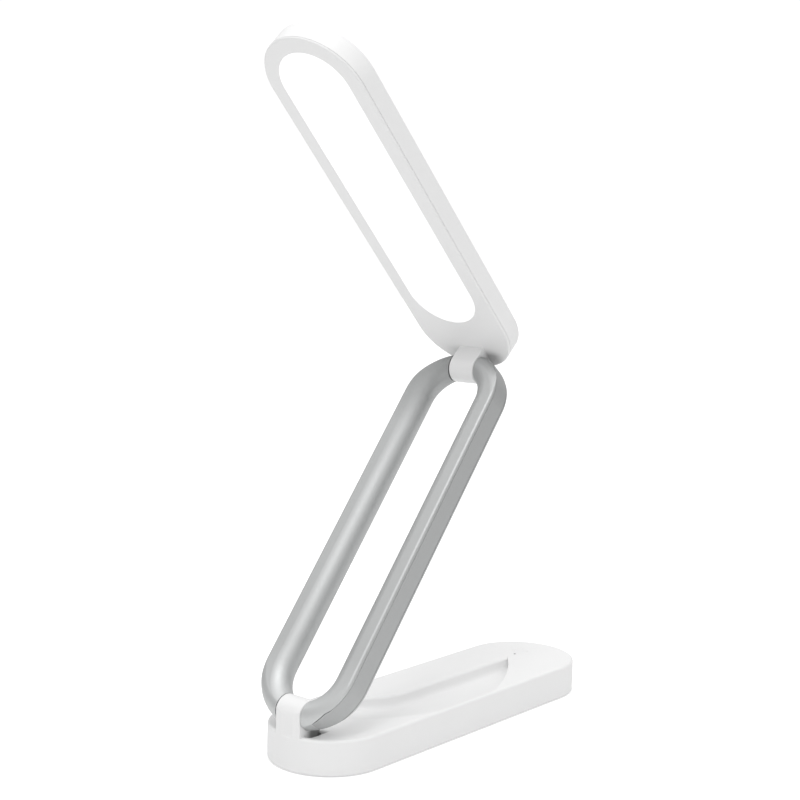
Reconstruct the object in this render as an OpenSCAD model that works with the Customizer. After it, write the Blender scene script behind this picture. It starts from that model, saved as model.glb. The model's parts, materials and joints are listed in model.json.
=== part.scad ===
// Folding desk lamp: a flat base with a pen well, a closed ring arm and a
// flat lighting head, joined by two horizontal friction hinges.
// X runs along the base from the hinge end to the far end, Z is up, and the
// origin is the middle of the face that the lamp rests on.

/* [Base] */
// Length of the base
base_l = 195; // [190:1:200]
// Width of the base
base_w = 55; // [53:0.5:58]
// Height of the deck above the table
base_h = 16; // [15.5:0.1:17]
// Rounding of the deck's rim
rim_r = 1.2; // [0.6:0.1:1.6]
// Wall thickness of the base shell
wall = 2.2; // [1.8:0.1:2.4]

/* [Pen well] */
// Depth of the well below the deck
well_d = 5.8; // [4:0.1:6]
// Where the well's upright side lies, across the base
well_y = 2.6; // [0:0.1:4]
// Where the well's pointed far end lies
well_end = 64; // [58:1:68]
// Lean of the upright side
well_lean = 20; // [8:1:26]
// Radius of the well's bend at the hinge end
well_bend = 28; // [26:1:38]

/* [Hinges] */
// Height of the lower hinge axis
axis_h = 24.3; // [24.2:0.1:25]
// Radius of the hinge barrels
barrel_r = 6.8; // [6.6:0.1:6.9]
// Width of the hinge barrels
barrel_w = 14.2; // [13:0.1:15]
// Radius of the hinge pins
pin_r = 3; // [2.6:0.1:3.2]

/* [Arm] */
// Overall length of the ring
ring_l = 195; // [190:1:200]
// Overall width of the ring
ring_w = 51; // [50:0.5:53]
// Thickness of the ring
ring_t = 13.2; // [13:0.1:13.4]
// Width of the ring's bars
bar_w = 11.8; // [11:0.1:12.2]
// Angle of the arm above the table
arm_angle = 51.5; // [0:0.5:110]

/* [Head] */
// Length of the head
head_l = 195; // [190:1:200]
// Width of the head
head_w = 51; // [50:0.5:53]
// Thickness of the head
head_t = 10.6; // [10.4:0.1:12]
// Width of the border beside the diffuser
border = 7.5; // [6:0.1:9]
// Length of the diffuser
lens_l = 157; // [150:1:159]
// Angle between the arm and the head, 180 is folded
head_angle = 82.5; // [0:0.5:180]

/* [Hidden] */
$fn = 72;
e = 0.01;

shell_z = 0.5;                       // underside of the shell above the table
plate_t = 1.8;
end_in = 7;                          // hinge axis to the end of the ring
axis_x = -base_l / 2 + end_in;       // lower hinge axis
arm_len = ring_l - 2 * end_in;       // axis to axis
slot_w = barrel_w + 0.7;             // gap in the ring for a barrel
arc_r = ring_w / 2;                  // outer radius of the ring's ends
arc_c = arc_r - end_in;              // its centre, from the hinge axis
nose_r = ring_t / 2 + 0.02;          // inner rounding of a bar
cover_h = 9.4;                       // width of a cover strip
cover_e = 5.2;                       // its width at its ends
cover_t = 1.1;
cover_y = 12.8;                      // where a cover strip ends, across
pin_end = 10.8;                      // half the length of a hinge pin
seat_y = 11.9;                       // where a pin's screw sits, across
usb_z = 7.07;                        // middle of the charging port
bush_r = pin_r + 1.4;
gap_h = 7.8;                         // upper axis to the head's front face
lens_w = head_w - 2 * border;
head_c = head_l / 2 - end_in;        // head's middle, from the upper axis
lens_c = head_l - end_in - border - lens_l / 2;
deck_top = base_h;
white = [0.94, 0.94, 0.94];
silver = [0.62, 0.64, 0.65];

// ---------- shared shapes ----------

// stadium outline, length along X
module slot2d(l, w) {
    square([l - w, w], center = true);
    for (s = [-1, 1]) translate([s * (l - w) / 2, 0]) circle(w / 2);
}

// right half of a rounded slab's section
module slab_half(w, z0, z1, rt, rb) {
    m = max(rt, rb);
    translate([0, z0]) square([w - m, z1 - z0]);
    translate([w - m - e, z0 + rb]) square([m + e, z1 - z0 - rt - rb]);
    if (rt > 0) translate([w - rt, z1 - rt]) circle(rt);
    if (rb > 0) translate([w - rb, z0 + rb]) circle(rb);
    if (m > rt) translate([w - m - e, z1 - rt - e]) square([m - rt + e, rt + e]);
    if (m > rb) translate([w - m - e, z0]) square([m - rb + e, rb + e]);
}

// stadium slab with rounded rims
module slab(l, w, z0, z1, rt, rb) {
    for (s = [-1, 1]) translate([s * (l - w) / 2, 0, 0])
        rotate_extrude() intersection() {
            slab_half(w / 2, z0, z1, rt, rb);
            translate([0, z0 - 1]) square([w, z1 - z0 + 2]);
        }
    translate([-(l - w) / 2, 0, 0]) rotate([90, 0, 90])
        linear_extrude(l - w) {
            slab_half(w / 2, z0, z1, rt, rb);
            mirror([1, 0]) slab_half(w / 2, z0, z1, rt, rb);
        }
}

module pill(l, w, z0, z1) {
    translate([0, 0, z0]) linear_extrude(z1 - z0) slot2d(l, w);
}

// cylinder along Y, centred
module along_y(r, w) {
    rotate([90, 0, 0]) cylinder(h = w, r = r, center = true);
}

// ---------- frames of the three bodies ----------

module on_arm() {
    translate([axis_x, 0, axis_h]) rotate([0, -arm_angle, 0]) children();
}
module on_head() {
    on_arm() translate([arm_len, 0, 0]) rotate([0, -head_angle, 0]) children();
}

// ---------- base ----------

wr = 3;                                        // fillet at the well's foot
wz = base_h - well_d;
wkx = well_d * tan(well_lean);                 // foot of the upright side
wrx = base_w / 2 + well_y - 0.6;               // where the ramp meets the deck
wb = atan2(well_d, wrx - wkx);                 // slope of the ramp
wi = (90 + well_lean - wb) / 2;                // half the angle at the foot
wt = wr / tan(wi);
wa = (90 + well_lean + wb) / 2;
wcx = wkx + wr / sin(wi) * cos(wa);
wcz = wz + wr / sin(wi) * sin(wa);
roll = 2.4;                                    // rounding of the well's shoulder
ro = roll / tan(45 + well_lean / 2);

// section of the well: x is the way out from the upright side, y is height
module well2d() {
    polygon([[-4 * tan(well_lean), base_h + 4], [0, base_h],
             [wkx - wt * sin(well_lean), wz + wt * cos(well_lean)],
             [wkx + wt * cos(wb), wz + wt * sin(wb)],
             [wrx, base_h], [wrx + 20, base_h + 20 * tan(wb)],
             [wrx + 20, base_h + 12]]);
    translate([wcx, wcz]) circle(wr, $fn = 48);
    difference() {
        polygon([[-ro, base_h + 1], [-ro, base_h],
                 [ro * sin(well_lean), base_h - ro * cos(well_lean)],
                 [ro * sin(well_lean) + 1, base_h - ro * cos(well_lean)],
                 [ro * sin(well_lean) + 1, base_h + 1]]);
        translate([-ro + 0.04, base_h - roll + 0.03]) circle(roll, $fn = 36);
    }
}
// the same, grown by the shell's thickness, for the hollow underneath
module under2d() {
    polygon([[-wall, base_h + 4], [-wall, wz - 2], [wkx, wz - 2],
             [wrx + 20, wz - 2 + (wrx + 20 - wkx) * tan(wb)],
             [wrx + 20, base_h + 12], [-wall, base_h + 12]]);
}
bend_x = -16;
end_a = 41;                                    // slant of the well's far end
end_r = 150;                                   // radius of its far end
module well(grow) {
    // straight stretch, whose far end curves away slantwise
    intersection() {
        translate([bend_x, well_y, 0]) rotate([90, 0, 90]) mirror([1, 0, 0])
            linear_extrude(well_end + (grow > 0 ? grow : 10) - bend_x)
                if (grow > 0) under2d(); else well2d();
        if (grow > 0) translate([-100, -60, -5]) cube([200, 120, 60]);
        else translate([well_end, well_y, -5]) linear_extrude(60)
            polygon(concat([for (t = [16:5:46]) [end_r * (sin(t) - sin(end_a)), end_r * (cos(end_a) - cos(t))]],
                           [[60, 60], [-170, 60], [-170, -60], [-80, -60]]));
    }
    // bend that sweeps towards the hinge end
    translate([bend_x, well_y + well_bend, 0]) rotate([0, 0, 180])
        rotate_extrude(angle = 90) translate([well_bend, 0])
            if (grow > 0) under2d(); else well2d();
}
module well_cut() {
    intersection() {
        well(0);
        union() {
            translate([-base_l / 2 - 5, -base_w / 2 - 5, 0])
                cube([base_l + 10, base_w / 2 + 5, 40]);
            pill(base_l - 6.4, base_w - 6.4, 0, 40);
        }
    }
}

boss = [[64, 16.5], [64, -16.5], [-66, 16.5], [-66, -16.5]];
key_p = [78, 5];
key_r = 3.8;
dot_p = [71.4, 3.6];

// barrel about Y with softened rims
soft = 0.7;
module barrel() {
    rotate([90, 0, 0]) rotate_extrude() {
        translate([0, -barrel_w / 2]) square([barrel_r - soft, barrel_w]);
        translate([0, -barrel_w / 2 + soft]) square([barrel_r, barrel_w - 2 * soft]);
        for (s = [-1, 1]) translate([barrel_r - soft, s * (barrel_w / 2 - soft)])
            circle(soft, $fn = 36);
    }
}
// upright block under a barrel, with softened upright edges
module neck(x0, x1, z0, z1) {
    translate([0, 0, z0]) linear_extrude(z1 - z0) {
        translate([x0 + soft, -barrel_w / 2]) square([x1 - x0 - 2 * soft, barrel_w]);
        translate([x0, -barrel_w / 2 + soft]) square([x1 - x0, barrel_w - 2 * soft]);
        for (x = [x0 + soft, x1 - soft], s = [-1, 1])
            translate([x, s * (barrel_w / 2 - soft)]) circle(soft, $fn = 36);
    }
}
module lug() {
    intersection() {
        union() {
            translate([axis_x, 0, axis_h]) barrel();
            translate([axis_x, 0, 0]) neck(-barrel_r, barrel_r, base_h - 6, axis_h);
        }
        pill(base_l, base_w, 0, axis_h + 20);
    }
}

module base_shell() {
    color(white) difference() {
        union() {
            difference() {
                slab(base_l, base_w, shell_z, base_h, rim_r, 0.5);
                difference() {
                    pill(base_l - 2 * wall, base_w - 2 * wall, 0, base_h - 2);
                    well(wall);
                    for (b = boss) translate([b[0], b[1], 0])
                        cylinder(h = 20, r = 3.1);
                    translate([axis_x - 10, -barrel_w / 2, 7.4])
                        cube([18, barrel_w, 20]);
                    translate([axis_x - 10, -14, 12.4]) cube([20, 28, 10]);
                }
                well_cut();
                // relief beside the lug, under the ring's ends
                for (s = [-1, 1]) translate([axis_x + 1, s * 7.8, base_h - 1.3])
                    linear_extrude(3) slot2d(9, 5.2);
            }
            lug();
        }
        // the plate's room below the screw bosses and the lug's root
        pill(base_l - 2 * wall, base_w - 2 * wall, 0, shell_z + plate_t + 0.05);
        for (b = boss) translate([b[0], b[1], 0]) cylinder(h = 9, r = 1.05);
        // hinge bore and the wires' way up to it
        translate([axis_x, 0, axis_h]) along_y(bush_r + 0.02, barrel_w + 4);
        translate([axis_x, 0, 0]) cylinder(h = axis_h, r = 1.6);
        // charging port
        translate([base_l / 2 - 8, 0, usb_z]) rotate([90, 0, 90])
            linear_extrude(12) usb2d(0.18);
        // touch key and status window
        translate([key_p[0], key_p[1], base_h - 0.7]) cylinder(h = 2, r = key_r + 0.08);
        translate([dot_p[0], dot_p[1], 6.5]) cylinder(h = 12, r = 0.62);
    }
}

module base_plate() {
    color([0.86, 0.86, 0.86]) difference() {
        union() {
            slab(base_l - 2 * wall - 0.2, base_w - 2 * wall - 0.2,
                 shell_z, shell_z + plate_t, 0, 0.3);
            for (x = [61, 87], y = [-10, 10]) translate([x, y, shell_z + plate_t - e])
                cylinder(h = 4.2 - shell_z - plate_t + e, r = 1.7);
            // cradle of the battery
            for (s = [-1, 1]) translate([10 + s * 44.4 - 0.6, -15, shell_z + plate_t - e])
                cube([1.2, 30, 2.2]);
        }
        pill(175, 39, 0, 0.95);
        for (b = boss) translate([b[0], b[1], 0]) {
            cylinder(h = 5, r = 1.35);
            translate([0, 0, 0.9]) cylinder(h = 0.95, r1 = 2.35, r2 = 1.35);
        }
    }
}

module grip_pad() {
    color([0.16, 0.16, 0.17]) difference() {
        slab(174.6, 38.6, 0, 0.9, 0, 0.3);
        for (s = [-1, 1]) translate([-e, s * 11, 0]) pill(120, 1.2, -1, 0.25);
    }
}

module plate_screws() {
    color([0.72, 0.72, 0.74]) for (b = boss) translate([b[0], b[1], 0])
        difference() {
            union() {
                translate([0, 0, 0.97]) cylinder(h = 0.85, r1 = 2.2, r2 = 1.3);
                translate([0, 0, 1.6]) cylinder(h = 6.8, r = 1.04);
            }
            for (a = [0, 90]) rotate([0, 0, a]) translate([-1.2, -0.2, 0.9])
                cube([2.4, 0.4, 0.5]);
        }
}

module battery() {
    color([0.75, 0.76, 0.78]) union() {
        translate([-32, -19, 2.5]) cube([84, 38, 5.0]);
        translate([52 - e, -14, 3.2]) cube([1.2, 28, 3.2]);
    }
}

module counterweight() {
    color([0.45, 0.45, 0.47]) difference() {
        translate([-78, -13, 2.45]) cube([41, 26, 5.2]);
        for (x = [-73, -42]) translate([x, 0, 2]) cylinder(h = 8, r = 1.6);
    }
}

module control_board() {
    color([0.12, 0.35, 0.2]) difference() {
        translate([58, -13, 4.25]) cube([33, 26, 1.2]);
        for (x = [61, 87], y = [-10, 10]) translate([x, y, 0]) cylinder(h = 9, r = 0.8);
    }
}

module board_parts() {
    color([0.15, 0.15, 0.16]) {
        translate([64, -8, 5.45]) cube([5, 5, 0.9]);
        translate([72, -7, 5.45]) cube([4, 5, 1.0]);
        translate([80, -10, 5.45]) cylinder(h = 2.0, r = 2.2);
        translate([84, 6, 5.45]) cube([3.2, 2.5, 1.1]);
        translate([62.5, 6, 5.45]) cube([4.5, 6, 2.3]);
        translate([71, -12, 5.45]) cube([3, 1.6, 0.7]);
        translate([dot_p[0] - 0.8, dot_p[1] - 0.8, 5.45]) cube([1.6, 1.6, 0.7]);
    }
}

module usb2d(g) {
    hw = 3.0;
    r = 1.6 + g;
    square([2 * hw, 2 * r], center = true);
    for (s = [-1, 1]) translate([s * hw, 0]) circle(r);
}
module usb_socket() {
    color([0.75, 0.76, 0.77]) translate([89.4, 0, usb_z]) rotate([90, 0, 90])
        difference() {
            linear_extrude(7.4) usb2d(0);
            translate([0, 0, 0.8]) linear_extrude(8) usb2d(-0.3);
        }
}
module usb_tongue() {
    color([0.1, 0.1, 0.1]) translate([90.2, -3.35, 6.72]) cube([5.6, 6.7, 0.7]);
}

module touch_key() {
    color([0.96, 0.96, 0.96]) translate([key_p[0], key_p[1], base_h - 0.68])
        cylinder(h = 0.68, r = key_r);
}
// coil under the key, one turn of 14 points, round wire of 6 sides
coil_n = 66;
function coil_p(i, a) = let (t = i * 360 / 14, r = 2.4 + 0.27 * cos(a))
    [key_p[0] + r * cos(t), key_p[1] + r * sin(t),
     5.9 + i * 7.6 / coil_n + 0.27 * sin(a)];
module touch_spring() {
    color([0.8, 0.7, 0.45]) polyhedron(
        points = [for (i = [0:coil_n], k = [0:5]) coil_p(i, k * 60)],
        faces = concat(
            [[for (k = [0:5]) k]],
            [[for (k = [5:-1:0]) coil_n * 6 + k]],
            [for (i = [0:coil_n - 1], k = [0:5])
                [i * 6 + k, (i + 1) * 6 + k, i * 6 + (k + 1) % 6]],
            [for (i = [0:coil_n - 1], k = [0:5])
                [i * 6 + (k + 1) % 6, (i + 1) * 6 + k, (i + 1) * 6 + (k + 1) % 6]]));
}
module status_window() {
    color([0.2, 0.2, 0.22]) translate([dot_p[0], dot_p[1], 6.6])
        cylinder(h = base_h - 6.6 - 0.05, r = 0.58);
}

// a wire through a list of corners, straight runs with ball elbows
module wire(pts, r) {
    for (i = [0:len(pts) - 2]) {
        d = pts[i + 1] - pts[i];
        l = norm(d);
        translate(pts[i]) rotate([0, acos(d[2] / l), atan2(d[1], d[0])])
            cylinder(h = l, r = r);
    }
    for (i = [1:len(pts) - 2]) translate(pts[i]) sphere(r * 1.25);
}
module base_wires() {
    color([0.7, 0.1, 0.1]) for (k = [0, 1])
        wire([[70 + k * 1.7, 12.4, 6.0 - k * 0.05],
              [70 + k * 1.7, 20.8 + k * 1.7, 6.0 - k * 0.05],
              [-74, 20.8 + k * 1.7, 6.0 - k * 1.2],
              [axis_x + 0.1, 6 + k * 1.7, 6.0 - k * 1.2],
              [axis_x + 0.1, 0.75 - k * 1.5, 6.0 - k * 1.2],
              [axis_x + 0.1, 0.75 - k * 1.5, axis_h - 4.8]], 0.45);
}

module sleeve(r0, r1, w) {
    difference() {
        along_y(r1, w);
        along_y(r0, w + 2);
    }
}
module lower_bush() {
    color([0.78, 0.62, 0.3]) translate([axis_x, 0, axis_h]) difference() {
        sleeve(pin_r + 0.05, bush_r, barrel_w - 0.1);
        translate([0, 0, -8]) cylinder(h = 8, r = 1.6);
    }
}

// ---------- arm ----------

// the loop's opening, half its section: its walls bulge inwards
module hole_half() {
    difference() {
        translate([0, -ring_t / 2 - 1]) square([arc_r - bar_w + nose_r, ring_t + 2]);
        translate([arc_r - bar_w + nose_r, 0]) circle(nose_r);
    }
}
module ring() {
    mid = arm_len - 2 * arc_c;
    translate([arm_len / 2, 0, 0]) difference() {
        slab(ring_l, ring_w, -ring_t / 2, ring_t / 2, 1.3, 1.3);
        for (s = [-1, 1]) translate([s * mid / 2, 0, 0]) rotate_extrude() hole_half();
        translate([-mid / 2, 0, 0]) rotate([90, 0, 90]) linear_extrude(mid) {
            hole_half();
            mirror([1, 0]) hole_half();
        }
    }
}
// a strip of the ring's wall between two radii, from v0 outwards on one side,
// h0 wide at its ends and h1 along the bar
module band(r0, r1, v0, h0, h1, right) {
    mid = arm_len - 2 * arc_c;
    intersection() {
        translate([arm_len / 2, 0, -9]) linear_extrude(18) difference() {
            slot2d(mid + 2 * r1, 2 * r1);
            slot2d(mid + 2 * r0, 2 * r0);
        }
        scale_y(right ? -1 : 1) translate([-20, 0, 0]) rotate([90, 0, 90])
            linear_extrude(arm_len + 40)
                polygon([[v0, -h0 / 2], [v0 + 5.7, -h1 / 2], [60, -h1 / 2],
                         [60, h1 / 2], [v0 + 5.7, h1 / 2], [v0, h0 / 2]]);
    }
}
module scale_y(s) {
    if (s < 0) mirror([0, 1, 0]) children();
    else children();
}

wire_r = arc_r - 3.4;                          // run of the wires in a rail
wire_v = sqrt(wire_r * wire_r - arc_c * arc_c);

// the outer wall grows fully round towards the barrel
module end_round() {
    difference() {
        translate([-10, -27, -9]) cube([10 + arc_c, 54, 18]);
        translate([arc_c + 6, 0, 0]) rotate_extrude() {
            translate([0, -ring_t / 2 - 1]) square([arc_r + 6 - nose_r, ring_t + 2]);
            translate([arc_r + 6 - nose_r, 0]) circle(nose_r);
        }
    }
}
module ends() {
    children();
    translate([arm_len, 0, 0]) mirror([1, 0, 0]) children();
}

module rail(right) {
    difference() {
        ring();
        translate([-20, right ? -slot_w / 2 : -60, -10])
            cube([arm_len + 40, 60 + slot_w / 2, 20]);
        ends() {
            end_round();
            // blind bore of the pin, with the wires' or the screw's way on
            along_y(pin_r + 0.03, 2 * pin_end + 0.2);
            if (right) translate([0, -13, 0]) rotate([-90, 0, 0])
                cylinder(h = 6, r = 1.7);
            else {
                translate([0, 8, 0]) rotate([-90, 0, 0]) cylinder(h = 6, r = 1.15);
                translate([0, seat_y, 0]) rotate([-90, 0, 0])
                    cylinder(h = 10, r = 2.1);
            }
        }
        // rebate of the cover strip and the groove under it
        band(arc_r - cover_t - 0.1, arc_r + 3, cover_y - 0.16, cover_e + 0.4,
             cover_h + 0.44, right);
        band(arc_r - 4.7, arc_r - 0.5, right ? 11.4 : 16, 4.6, 4.6, right);
    }
}
module rail_right() { color(silver) on_arm() rail(true); }
module rail_left() { color(silver) on_arm() rail(false); }

module cover(right) {
    difference() {
        band(arc_r - cover_t - 0.04, arc_r - 0.04, cover_y, cover_e, cover_h, right);
        ends() end_round();
    }
}
module cover_right() { color([0.58, 0.6, 0.61]) on_arm() cover(true); }
module cover_left() { color([0.58, 0.6, 0.61]) on_arm() cover(false); }

// hinge pin: hollow from the wires' side, tapped for a screw at the other
module pin_shape() {
    difference() {
        along_y(pin_r, 2 * pin_end);
        translate([0, -pin_end - 1, 0]) rotate([-90, 0, 0])
            cylinder(h = pin_end + 4, r = 1.7);
        translate([0, 0, -5]) cylinder(h = 5, r = 1.3);
        translate([0, pin_end - 4.5, 0]) rotate([-90, 0, 0])
            cylinder(h = 6, r = 0.95);
    }
}
module lower_pin() {
    color([0.7, 0.7, 0.72]) translate([axis_x, 0, axis_h]) pin_shape();
}
module upper_pin() { color([0.7, 0.7, 0.72]) on_head() pin_shape(); }
module pin_screws() {
    color([0.6, 0.6, 0.62]) on_arm() ends() difference() {
        union() {
            translate([0, seat_y + 0.02, 0]) rotate([-90, 0, 0])
                cylinder(h = 0.95, r = 1.9);
            translate([0, pin_end - 4.2, 0]) rotate([-90, 0, 0])
                cylinder(h = seat_y - pin_end + 4.4, r = 0.93);
        }
        for (a = [0, 90]) rotate([0, a, 0])
            translate([-1.1, seat_y + 0.5, -0.18]) cube([2.2, 1, 0.36]);
    }
}
module washers_shape() {
    for (s = [-1, 1]) scale_y(s)
        translate([0, barrel_w / 2 + 0.06, 0]) rotate([-90, 0, 0])
            difference() {
                cylinder(h = slot_w / 2 - barrel_w / 2 - 0.08, r = 5.6);
                translate([0, 0, -1]) cylinder(h = 5, r = pin_r + 0.03);
            }
}
module lower_washers() { color([0.2, 0.2, 0.2]) on_arm() washers_shape(); }
module upper_washers() {
    color([0.2, 0.2, 0.2]) on_arm() translate([arm_len, 0, 0]) washers_shape();
}
module arm_wires() {
    a = asin(wire_v / wire_r);
    color([0.7, 0.1, 0.1]) on_arm() for (k = [-1, 1]) translate([0, 0, k * 0.8]) {
        ends() {
            translate([0, -wire_v + 0.1, 0]) rotate([-90, 0, 0])
                cylinder(h = wire_v - 2.3, r = 0.45);
            translate([0, -wire_v, 0]) sphere(0.56);
            translate([arc_c, -wire_r, 0]) sphere(0.56);
            translate([arc_c, 0, 0]) rotate([0, 0, 180 + a + 0.25])
                rotate_extrude(angle = 90 - a - 0.5) translate([wire_r, 0]) circle(0.45);
        }
        translate([arc_c + 0.1, -wire_r, 0]) rotate([0, 90, 0])
            cylinder(h = arm_len - 2 * arc_c - 0.2, r = 0.45);
    }
}

// ---------- head ----------
// X runs from the hinge to the far end, the lit face looks along +Z

front_z = -gap_h;
back_z = -gap_h - head_t;
bezel_t = 1.2;
back_t = 1.6;
skin = 1.8;

module head_frame() {
    color(white) on_head() difference() {
        union() {
            translate([head_c, 0, 0])
                slab(head_l, head_w, back_z, front_z, 0.8, 1.0);
            intersection() {
                union() {
                    barrel();
                    neck(-barrel_r, barrel_r, front_z - 1, 0);
                }
                translate([head_c, 0, 0]) pill(head_l, head_w, -20, 20);
            }
        }
        // fine shadow line round the front's rim
        translate([head_c, 0, 0]) difference() {
            pill(head_l + 2, head_w + 2, front_z - 1.12, front_z - 0.87);
            pill(head_l - 0.6, head_w - 0.6, front_z - 2, front_z);
        }
        // window, rebate of the diffuser's flange, hollow, room for the back
        translate([lens_c, 0, 0]) pill(lens_l + 0.2, lens_w + 0.2, -16, 0);
        intersection() {
            translate([head_c, 0, 0])
                pill(head_l - 2 * skin, head_w - 2 * skin, back_z - 1, front_z - bezel_t);
            translate([11, -40, -40]) cube([300, 80, 80]);
        }
        translate([head_c, 0, 0])
            pill(head_l - 2 * skin, head_w - 2 * skin, back_z - 1, back_z + back_t + 0.05);
        // hinge bore and the wires' way in
        along_y(bush_r + 0.02, barrel_w + 4);
        translate([0, 0, -14]) cylinder(h = 14, r = 1.6);
        translate([0, -1.6, -14]) cube([12, 3.2, 3.2]);
    }
}

post = [[34, 16.5], [34, -16.5], [170, 16.5], [170, -16.5]];

module head_back() {
    color(white) on_head() difference() {
        union() {
            translate([head_c, 0, 0])
                slab(head_l - 2 * skin - 0.2, head_w - 2 * skin - 0.2,
                     back_z, back_z + back_t, 0, 0.3);
            for (p = post) translate([p[0], p[1], back_z + back_t - e])
                cylinder(h = 2.2 + e, r = 2.3);
            for (x = [22, 62, 102, 142], s = [-1, 1])
                translate([x - 4, s * (head_w / 2 - skin - 1.0) - 0.6, back_z + back_t - e])
                    cube([8, 1.2, 2.6]);
        }
        for (p = post) translate([p[0], p[1], back_z + back_t]) cylinder(h = 6, r = 0.85);
    }
}

module diffuser() {
    color([1, 1, 1]) on_head() translate([lens_c, 0, 0]) {
        pill(lens_l, lens_w, front_z - bezel_t - 0.1, front_z - 0.05);
        pill(lens_l + 4.6, lens_w + 4.6, front_z - bezel_t - 1.3, front_z - bezel_t - 0.05);
    }
}

led_z = back_z + back_t + 2.22;
module led_board() {
    color([0.9, 0.9, 0.92]) on_head() difference() {
        translate([lens_c, 0, 0]) pill(lens_l + 4.6, lens_w + 4.6, led_z, led_z + 1);
        for (p = post) translate([p[0], p[1], -30]) cylinder(h = 30, r = 1.1);
    }
}
module led_grid() {
    for (i = [0:13], s = [-1, 1])
        translate([lens_c + (i - 6.5) * 10.6, s * 8.6, 0]) children();
}
module leds() {
    color([0.95, 0.9, 0.55]) on_head() led_grid()
        translate([-1.75, -1.4, led_z + 1.02]) cube([3.5, 2.8, 0.75]);
}
module reflector() {
    color([0.98, 0.98, 0.98]) on_head() difference() {
        translate([lens_c, 0, 0])
            pill(lens_l + 4.4, lens_w + 4.4, led_z + 1.02, led_z + 1.27);
        led_grid() translate([-2, -1.65, -30]) cube([4, 3.3, 30]);
        for (p = post) translate([p[0], p[1], -30]) cylinder(h = 30, r = 2.4);
    }
}
module led_screws() {
    color([0.72, 0.72, 0.74]) on_head() for (p = post)
        translate([p[0], p[1], 0]) {
            translate([0, 0, led_z + 1.02]) cylinder(h = 0.9, r = 2.0);
            translate([0, 0, back_z + back_t + 0.3])
                cylinder(h = led_z + 1.1 - back_z - back_t - 0.3, r = 0.84);
        }
}
module head_wires() {
    color([0.7, 0.1, 0.1]) on_head() for (k = [-1, 1])
        wire([[0.1, k * 0.75, -4.8], [0.1, k * 0.75, -12.75], [26, k * 0.75, -12.75]],
             0.45);
}
module upper_bush() {
    color([0.78, 0.62, 0.3]) on_head() difference() {
        sleeve(pin_r + 0.05, bush_r, barrel_w - 0.1);
        translate([0, 0, -8]) cylinder(h = 8, r = 1.6);
    }
}

base_shell();
base_plate();
grip_pad();
plate_screws();
battery();
counterweight();
control_board();
board_parts();
usb_socket();
usb_tongue();
touch_key();
touch_spring();
status_window();
base_wires();
lower_bush();
rail_right();
rail_left();
cover_right();
cover_left();
lower_pin();
upper_pin();
pin_screws();
lower_washers();
upper_washers();
arm_wires();
head_frame();
head_back();
diffuser();
reflector();
led_board();
leds();
led_screws();
head_wires();
upper_bush();
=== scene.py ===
"""Folding desk lamp in a plain pale studio: materials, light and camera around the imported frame."""

import json
import math

import bpy
from mathutils import Matrix, Vector

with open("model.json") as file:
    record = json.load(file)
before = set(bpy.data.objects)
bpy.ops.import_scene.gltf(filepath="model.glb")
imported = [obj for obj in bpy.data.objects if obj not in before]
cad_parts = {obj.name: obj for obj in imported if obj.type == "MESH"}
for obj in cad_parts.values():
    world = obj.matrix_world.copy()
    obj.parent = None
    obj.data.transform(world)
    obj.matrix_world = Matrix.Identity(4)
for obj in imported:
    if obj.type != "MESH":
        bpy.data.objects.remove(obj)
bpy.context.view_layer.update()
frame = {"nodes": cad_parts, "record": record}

scene = bpy.context.scene
nodes = frame["nodes"]

# ---------------------------------------------------------------- light levels
# The studio's walls: direction, where the glow starts, and how bright it is.
WALLS = [
    ((0, 0, 1), 0.0, 0.99),            # ceiling
    ((-0.72, -0.61, 0.33), 0.0, 0.50),  # behind the camera
    ((0.72, 0.61, 0.33), 0.0, 0.42),   # behind the lamp
    ((-0.65, 0.76, 0.1), 0.0, 0.18),   # left
    ((0.65, -0.76, 0.1), 0.0, 0.19),   # right
]
WALL_BASE = 0.0
FLOOR_ALBEDO = 0.75
FLOOR_GLOW = 0.16     # light that the wide floor sends back up
FLOOR_SEEN = 0.40      # keeps the floor near white in the picture


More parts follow.
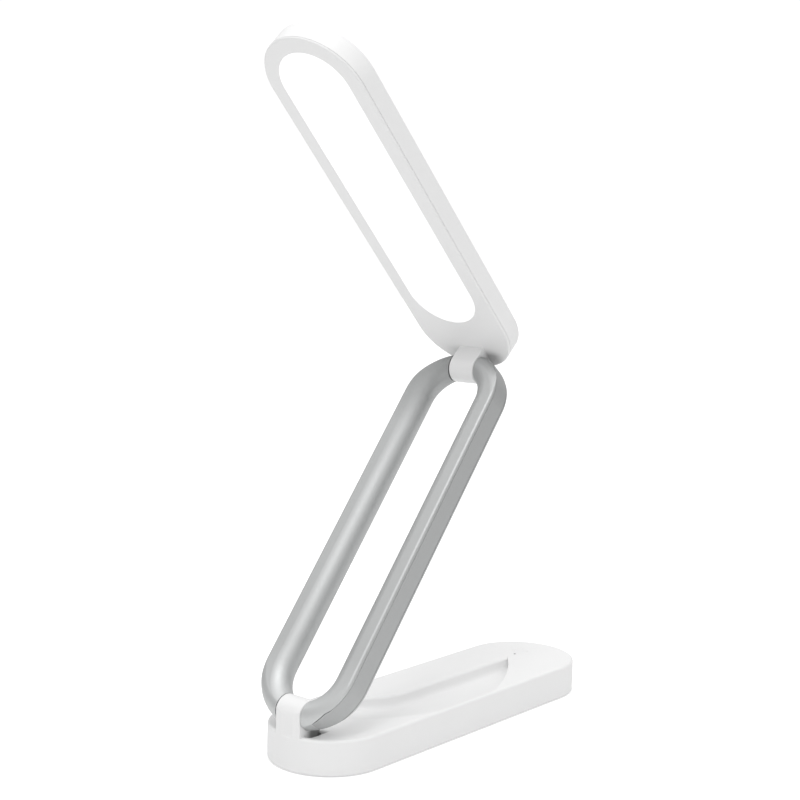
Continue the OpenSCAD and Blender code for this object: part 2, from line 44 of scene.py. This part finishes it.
# ---------------------------------------------------------------- node helpers
class Mat:
    """A material built from nodes. Texture space is the object's own, in metres."""

    def __init__(self, name):
        self.m = bpy.data.materials.new(name)
        self.m.use_nodes = True
        self.t = self.m.node_tree
        self.t.nodes.clear()
        self.out = self.add("ShaderNodeOutputMaterial")
        self.bsdf = self.add("ShaderNodeBsdfPrincipled")
        self.link(self.bsdf.outputs["BSDF"], self.out.inputs["Surface"])
        self.coord = self.add("ShaderNodeTexCoord").outputs["Object"]

    def add(self, kind, **values):
        n = self.t.nodes.new(kind)
        for k, v in values.items():
            setattr(n, k, v)
        return n

    def link(self, a, b):
        self.t.links.new(a, b)

    def noise(self, scale, detail=2.0, rough=0.5, stretch=None):
        """Value 0 to 1; scale is in cells per metre."""
        src = self.coord
        if stretch:
            mp = self.add("ShaderNodeMapping")
            mp.inputs["Scale"].default_value = stretch
            self.link(src, mp.inputs["Vector"])
            src = mp.outputs["Vector"]
        n = self.add("ShaderNodeTexNoise")
        n.inputs["Scale"].default_value = scale
        n.inputs["Detail"].default_value = detail
        n.inputs["Roughness"].default_value = rough
        self.link(src, n.inputs["Vector"])
        return n.outputs["Fac"]

    def cells(self, scale, feature="F1"):
        n = self.add("ShaderNodeTexVoronoi", feature=feature)
        n.inputs["Scale"].default_value = scale
        self.link(self.coord, n.inputs["Vector"])
        return n.outputs["Distance"]

    def ramp(self, fac, stops):
        """stops are (place, value or colour)."""
        r = self.add("ShaderNodeValToRGB")
        els = r.color_ramp.elements
        while len(els) < len(stops):
            els.new(0.5)
        for el, (p, v) in zip(els, stops):
            el.position = p
            el.color = (v, v, v, 1) if isinstance(v, (int, float)) else (*v, 1)
        self.link(fac, r.inputs["Fac"])
        return r.outputs["Color"]

    def span(self, fac, lo, hi, a=0.0, b=1.0):
        """fac's lo..hi becomes a..b."""
        r = self.add("ShaderNodeMapRange")
        for k, v in (("From Min", lo), ("From Max", hi), ("To Min", a), ("To Max", b)):
            r.inputs[k].default_value = v
        self.link(fac, r.inputs["Value"])
        return r.outputs["Result"]

    def math(self, op, a, b):
        n = self.add("ShaderNodeMath", operation=op)
        for i, v in enumerate((a, b)):
            if isinstance(v, (int, float)):
                n.inputs[i].default_value = v
            else:
                self.link(v, n.inputs[i])
        return n.outputs[0]

    def within(self, v, lo, hi, soft):
        """1 between lo and hi, with soft edges outside."""
        return self.math("MULTIPLY", self.span(v, lo - soft, lo), self.span(v, hi, hi + soft, 1.0, 0.0))

    def mix(self, fac, a, b):
        n = self.add("ShaderNodeMix", data_type="RGBA")
        for key, v in ((0, fac), (6, a), (7, b)):
            if isinstance(v, (int, float)):
                n.inputs[key].default_value = v
            elif isinstance(v, tuple):
                n.inputs[key].default_value = (*v, 1)
            else:
                self.link(v, n.inputs[key])
        return n.outputs[2]

    def color(self, v):
        if isinstance(v, tuple):
            self.bsdf.inputs["Base Color"].default_value = (*v, 1)
        else:
            self.link(v, self.bsdf.inputs["Base Color"])

    def rough(self, v):
        if isinstance(v, (int, float)):
            self.bsdf.inputs["Roughness"].default_value = v
        else:
            self.link(v, self.bsdf.inputs["Roughness"])

    def set(self, key, v):
        self.bsdf.inputs[key].default_value = v

    def bump(self, height, dist, strength=1.0):
        b = self.add("ShaderNodeBump")
        b.inputs["Strength"].default_value = strength
        b.inputs["Distance"].default_value = dist
        self.link(height, b.inputs["Height"])
        self.link(b.outputs["Normal"], self.bsdf.inputs["Normal"])


def tint(c, k):
    return tuple(min(1.0, v * k) for v in c)


def plastic(name, c, rough=0.42, grain=4200.0, depth=0.000012, spread=0.02, ior=1.49):
    """Moulded plastic with a fine spark-eroded texture and faint flow clouds."""
    m = Mat(name)
    fine = m.noise(grain, 3.0, 0.6)
    cloud = m.noise(28.0, 3.0, 0.55)
    speck = m.mix(m.span(fine, 0.3, 0.7), tint(c, 1 - spread), tint(c, 1 + spread))
    m.color(m.mix(m.span(cloud, 0.35, 0.65, 0.0, 0.5), speck, tint(c, 1 - spread * 0.8)))
    m.rough(m.math("ADD", m.span(fine, 0.3, 0.7, rough - 0.05, rough + 0.05),
                   m.span(cloud, 0.3, 0.7, -0.02, 0.02)))
    m.set("IOR", ior)
    m.bump(fine, depth)
    return m


def blasted(name, c, rough=0.40, grain=6500.0, depth=0.000006):
    """Bead-blasted, clear anodised aluminium: tight pits, even satin sheen."""
    m = Mat(name)
    pits = m.noise(grain, 3.0, 0.65)
    cloud = m.noise(16.0, 2.0, 0.5)
    draw = m.noise(900.0, 2.0, 0.5, stretch=(1.0, 1.0, 1.0))
    base = m.mix(m.span(pits, 0.3, 0.7), tint(c, 0.95), tint(c, 1.05))
    m.color(m.mix(m.span(cloud, 0.35, 0.65, 0.0, 0.6), base, tint(c, 0.97)))
    m.rough(m.math("ADD", m.span(pits, 0.3, 0.7, rough - 0.04, rough + 0.04),
                   m.span(draw, 0.35, 0.65, -0.015, 0.015)))
    m.set("Metallic", 1.0)
    m.bump(pits, depth)
    return m


def metal(name, c, rough, grain, stretch=None, depth=0.000004, spread=0.06):
    m = Mat(name)
    g = m.noise(grain, 3.0, 0.6, stretch)
    m.color(m.mix(m.span(g, 0.3, 0.7), tint(c, 1 - spread), tint(c, 1 + spread)))
    m.rough(m.span(g, 0.3, 0.7, rough - 0.06, rough + 0.06))
    m.set("Metallic", 1.0)
    m.bump(g, depth)
    return m


# ---------------------------------------------------------------- materials
WHITE = (0.80, 0.80, 0.80)
SILVER = (0.525, 0.533, 0.533)

mats = {}
mats["white_shell"] = plastic("satin_white_abs", WHITE)
# The reliefs beside the base's lug are toned darker, for the deep shade that the photo has there.
m = mats["white_shell"]
where = m.add("ShaderNodeSeparateXYZ")
m.link(m.coord, where.inputs[0])
shade = m.math("MULTIPLY", m.within(where.outputs[0], -0.0895, -0.0838, 0.003),
               m.within(m.math("ABSOLUTE", where.outputs[1], 0.0), 0.0068, 0.0100, 0.0006))
shade = m.math("MULTIPLY", shade, m.within(where.outputs[2], 0.0146, 0.0174, 0.0008))
plain = m.bsdf.inputs["Base Color"].links[0].from_socket
dark = m.mix(m.math("MULTIPLY", shade, 0.75), plain, (0.10, 0.10, 0.10))
# Painted light: the acute corner at the well's far end is toned lighter against the shade it gets,
# because the photo's is hardly shaded.
painted_light_corner = m.math("MULTIPLY", m.within(where.outputs[0], 0.0640, 0.0680, 0.0075),
                      m.within(where.outputs[1], -0.0100, 0.0030, 0.005))
painted_light_corner = m.math("MULTIPLY", painted_light_corner, m.within(where.outputs[2], 0.0090, 0.0134, 0.0012))
light = m.mix(painted_light_corner, dark, (0.95, 0.95, 0.95))
# Painted shade: the head's foot is darkened beside the strap, for the photo's shade there.
foot_painted_shade = m.math("MULTIPLY", m.within(where.outputs[0], 0.0265, 0.0330, 0.0035),
              m.within(where.outputs[1], -0.0115, -0.0068, 0.005))
foot_painted_shade = m.math("MULTIPLY", foot_painted_shade, m.within(where.outputs[2], 0.1600, 0.1728, 0.0035))
m.color(m.mix(m.math("MULTIPLY", foot_painted_shade, 0.45), light, (0.10, 0.10, 0.10)))
mats["plate_grey"] = plastic("grey_abs", (0.66, 0.66, 0.655), rough=0.5, grain=2600.0,
                             depth=0.00002)
mats["key_white"] = plastic("key_white", WHITE, rough=0.30, depth=0.000006)
mats["black_plastic"] = plastic("black_moulding", (0.022, 0.022, 0.024), rough=0.45,
                                spread=0.12)
mats["wire_red"] = plastic("wire_sleeve", (0.42, 0.03, 0.025), rough=0.38, spread=0.05)
mats["rail_silver"] = blasted("blasted_rail", SILVER, rough=0.56)
# Painted light and shade: the rails are a little lighter near the base, a painted reflection of the
# white deck, and the left one is darker under the head, a painted shadow of the head.
m = mats["rail_silver"]
where = m.add("ShaderNodeSeparateXYZ")
m.link(m.coord, where.inputs[0])
plain = m.bsdf.inputs["Base Color"].links[0].from_socket
painted_deck_reflection = m.span(where.outputs[2], 0.030, 0.050, 0.6, 0.0)
painted_head_shade = m.math("MULTIPLY", m.span(where.outputs[2], 0.140, 0.168, 0.0, 0.30),
              m.span(where.outputs[1], 0.002, 0.006))
m.color(m.mix(painted_head_shade, m.mix(painted_deck_reflection, plain, tint(SILVER, 1.27)), (0.02, 0.02, 0.02)))
mats["cover_silver"] = blasted("blasted_cover", tint(SILVER, 0.93), rough=0.57)

m = Mat("grip_rubber")
g = m.noise(5200.0, 4.0, 0.7)
w = m.noise(60.0, 3.0, 0.5)
m.color(m.mix(m.span(w, 0.35, 0.65), (0.018, 0.018, 0.019), (0.028, 0.028, 0.029)))
m.rough(m.span(g, 0.3, 0.7, 0.66, 0.84))
m.bump(g, 0.00003)
mats["pad_rubber"] = m

mats["screw_steel"] = metal("zinc_screw", (0.55, 0.55, 0.57), 0.34, 3800.0)
mats["pin_steel"] = metal("ground_pin", (0.58, 0.58, 0.59), 0.26, 260.0,
                          stretch=(30.0, 1.0, 30.0))
mats["socket_steel"] = metal("drawn_socket", (0.60, 0.60, 0.61), 0.30, 300.0,
                             stretch=(1.0, 20.0, 20.0))
mats["ballast_iron"] = metal("black_ballast", (0.11, 0.11, 0.115), 0.55, 1500.0,
                             depth=0.00002, spread=0.18)
mats["brass_part"] = metal("turned_brass", (0.62, 0.44, 0.17), 0.30, 240.0,
                           stretch=(1.0, 26.0, 1.0))
mats["cell_foil"] = metal("cell_foil", (0.62, 0.63, 0.65), 0.36, 420.0, depth=0.00005)

m = Mat("solder_mask")
g = m.noise(900.0, 2.0, 0.5)
tracks = m.add("ShaderNodeTexBrick")
tracks.inputs["Scale"].default_value = 320.0
tracks.inputs["Mortar Size"].default_value = 0.06
tracks.inputs["Color1"].default_value = (0.012, 0.10, 0.035, 1)
tracks.inputs["Color2"].default_value = (0.010, 0.085, 0.030, 1)
tracks.inputs["Mortar"].default_value = (0.03, 0.19, 0.07, 1)
m.link(m.coord, tracks.inputs["Vector"])
m.color(tracks.outputs["Color"])
m.rough(m.span(g, 0.3, 0.7, 0.26, 0.40))
m.bump(g, 0.00001)
mats["board_green"] = m

m = Mat("smoke_window")
g = m.noise(1800.0, 2.0, 0.5)
m.color(m.mix(m.span(g, 0.3, 0.7), (0.016, 0.016, 0.018), (0.03, 0.03, 0.033)))
m.rough(m.span(g, 0.3, 0.7, 0.10, 0.2))
mats["smoke_window"] = m

m = Mat("board_alu")
g = m.noise(3000.0, 2.0, 0.5)
m.color(m.mix(m.span(g, 0.3, 0.7), (0.74, 0.74, 0.73), (0.82, 0.82, 0.81)))
m.rough(m.span(g, 0.3, 0.7, 0.34, 0.48))
m.bump(g, 0.000008)
mats["board_alu"] = m

m = Mat("reflector_film")
g = m.noise(2400.0, 2.0, 0.5)
m.color(m.mix(m.span(g, 0.3, 0.7), (0.86, 0.86, 0.86), (0.92, 0.92, 0.92)))
m.rough(m.span(g, 0.3, 0.7, 0.45, 0.6))
mats["reflector_white"] = m

m = Mat("phosphor")
g = m.noise(3500.0, 2.0, 0.5)
m.color(m.mix(m.span(g, 0.3, 0.7), (0.85, 0.62, 0.08), (0.95, 0.72, 0.14)))
m.rough(m.span(g, 0.3, 0.7, 0.25, 0.4))
mats["led_yellow"] = m

# Opal sheet, lit evenly from behind: the LED rows leave only a trace of unevenness.
m = Mat("opal_lit")
g = m.noise(2600.0, 2.0, 0.5)
cloud = m.noise(45.0, 2.0, 0.5)
m.color(m.mix(m.span(cloud, 0.3, 0.7), (0.86, 0.86, 0.86), (0.90, 0.90, 0.90)))
m.rough(m.span(g, 0.3, 0.7, 0.46, 0.58))
m.link(m.ramp(cloud, [(0.3, (0.985, 0.99, 1.0)), (0.7, (1.0, 1.0, 1.0))]),
       m.bsdf.inputs["Emission Color"])
m.set("Emission Strength", 0.32)
m.bump(g, 0.000006)
mats["opal"] = m

for part in frame["record"]["subparts"]:
    ob = nodes[part["node"]]
    ob.data.materials.clear()
    ob.data.materials.append(mats[part["material_slot"]].m)

# ---------------------------------------------------------------- floor
floor_mesh = bpy.data.meshes.new("floor")
R = 3.0
floor_mesh.from_pydata([(-R, -R, 0), (R, -R, 0), (R, R, 0), (-R, R, 0)], [], [(0, 1, 2, 3)])
floor = bpy.data.objects.new("floor", floor_mesh)
scene.collection.objects.link(floor)
fm = bpy.data.materials.new("pale_floor")
fm.use_nodes = True
t = fm.node_tree
t.nodes.clear()
out = t.nodes.new("ShaderNodeOutputMaterial")
dif = t.nodes.new("ShaderNodeBsdfDiffuse")
dif.inputs["Color"].default_value = (FLOOR_ALBEDO, FLOOR_ALBEDO, FLOOR_ALBEDO, 1)
glow = t.nodes.new("ShaderNodeEmission")
glow.inputs["Color"].default_value = (1, 1, 1, 1)
lp = t.nodes.new("ShaderNodeLightPath")
seen = t.nodes.new("ShaderNodeMapRange")
seen.inputs["To Min"].default_value = FLOOR_GLOW
seen.inputs["To Max"].default_value = FLOOR_SEEN
t.links.new(lp.outputs["Is Camera Ray"], seen.inputs["Value"])
t.links.new(seen.outputs["Result"], glow.inputs["Strength"])
add = t.nodes.new("ShaderNodeAddShader")
t.links.new(dif.outputs[0], add.inputs[0])
t.links.new(glow.outputs[0], add.inputs[1])
geo = t.nodes.new("ShaderNodeNewGeometry")
clear = t.nodes.new("ShaderNodeBsdfTransparent")
mx = t.nodes.new("ShaderNodeMixShader")
t.links.new(geo.outputs["Backfacing"], mx.inputs[0])
t.links.new(add.outputs[0], mx.inputs[1])
t.links.new(clear.outputs[0], mx.inputs[2])
t.links.new(mx.outputs[0], out.inputs["Surface"])
floor_mesh.materials.append(fm)
floor.location = (0, 0, -0.00002)

# ---------------------------------------------------------------- world
world = bpy.data.worlds.new("studio")
scene.world = world
world.use_nodes = True
t = world.node_tree
t.nodes.clear()
out = t.nodes.new("ShaderNodeOutputWorld")
coord = t.nodes.new("ShaderNodeTexCoord")


def lobe(direction, lo, hi, strength):
    d = t.nodes.new("ShaderNodeVectorMath")
    d.operation = "DOT_PRODUCT"
    d.inputs[1].default_value = Vector(direction).normalized()
    t.links.new(coord.outputs["Generated"], d.inputs[0])
    r = t.nodes.new("ShaderNodeMapRange")
    r.interpolation_type = "SMOOTHSTEP"
    r.inputs["From Min"].default_value = lo
    r.inputs["From Max"].default_value = hi
    r.inputs["To Min"].default_value = 0.0
    r.inputs["To Max"].default_value = strength
    t.links.new(d.outputs["Value"], r.inputs["Value"])
    return r.outputs["Result"]


total = None
for direction, start, strength in WALLS:
    a = t.nodes.new("ShaderNodeMath")
    a.operation = "ADD"
    t.links.new(lobe(direction, start, 1.0, strength), a.inputs[0])
    if total is None:
        a.inputs[1].default_value = WALL_BASE
    else:
        t.links.new(total, a.inputs[1])
    total = a.outputs[0]
light_bg = t.nodes.new("ShaderNodeBackground")
light_bg.inputs["Color"].default_value = (1, 1, 1, 1)
t.links.new(total, light_bg.inputs["Strength"])
seen_bg = t.nodes.new("ShaderNodeBackground")
seen_bg.inputs["Color"].default_value = (1, 1, 1, 1)
seen_bg.inputs["Strength"].default_value = 1.05
lp = t.nodes.new("ShaderNodeLightPath")
mx = t.nodes.new("ShaderNodeMixShader")
t.links.new(lp.outputs["Is Camera Ray"], mx.inputs[0])
t.links.new(light_bg.outputs[0], mx.inputs[1])
t.links.new(seen_bg.outputs[0], mx.inputs[2])
t.links.new(mx.outputs[0], out.inputs["Surface"])


# ---------------------------------------------------------------- lamps
def area(name, towards, dist, size, power, target=Vector((0, 0, 0.15))):
    light = bpy.data.lights.new(name, "AREA")
    light.shape = "RECTANGLE"
    light.size, light.size_y = size
    light.energy = power
    light.color = (1, 1, 1)
    ob = bpy.data.objects.new(name, light)
    d = Vector(towards).normalized()
    ob.location = target + d * dist
    ob.rotation_mode = "QUATERNION"
    ob.rotation_quaternion = d.to_track_quat("Z", "Y")
    scene.collection.objects.link(ob)
    return ob


area("key", (-0.35, -0.25, 0.90), 0.95, (0.30, 0.30), 1.78)

# ---------------------------------------------------------------- camera
cam = bpy.data.cameras.new("camera")
cam.sensor_fit = "HORIZONTAL"
cam.sensor_width = 36.0
cam.lens = 36.0 * 1509.2 / 800.0
cam.clip_start = 0.02
cam.clip_end = 20.0
az, el, roll = (math.radians(v) for v in (-49.443, 6.72, 1.307))
back = Vector((math.sin(az) * math.cos(el), -math.cos(az) * math.cos(el), math.sin(el)))
right = Vector((math.cos(az), math.sin(az), 0))
up = back.cross(right)
r2 = right * math.cos(roll) + up * math.sin(roll)
u2 = up * math.cos(roll) - right * math.sin(roll)
cam_ob = bpy.data.objects.new("camera", cam)
mw = Matrix((r2, u2, back)).transposed().to_4x4()
mw.translation = Vector((-0.54081, -0.43908, 0.23428))
cam_ob.matrix_world = mw
scene.collection.objects.link(cam_ob)
scene.camera = cam_ob

scene.view_settings.view_transform = "Standard"
scene.view_settings.look = "None"
scene.view_settings.exposure = 0.0
scene.view_settings.gamma = 1.0
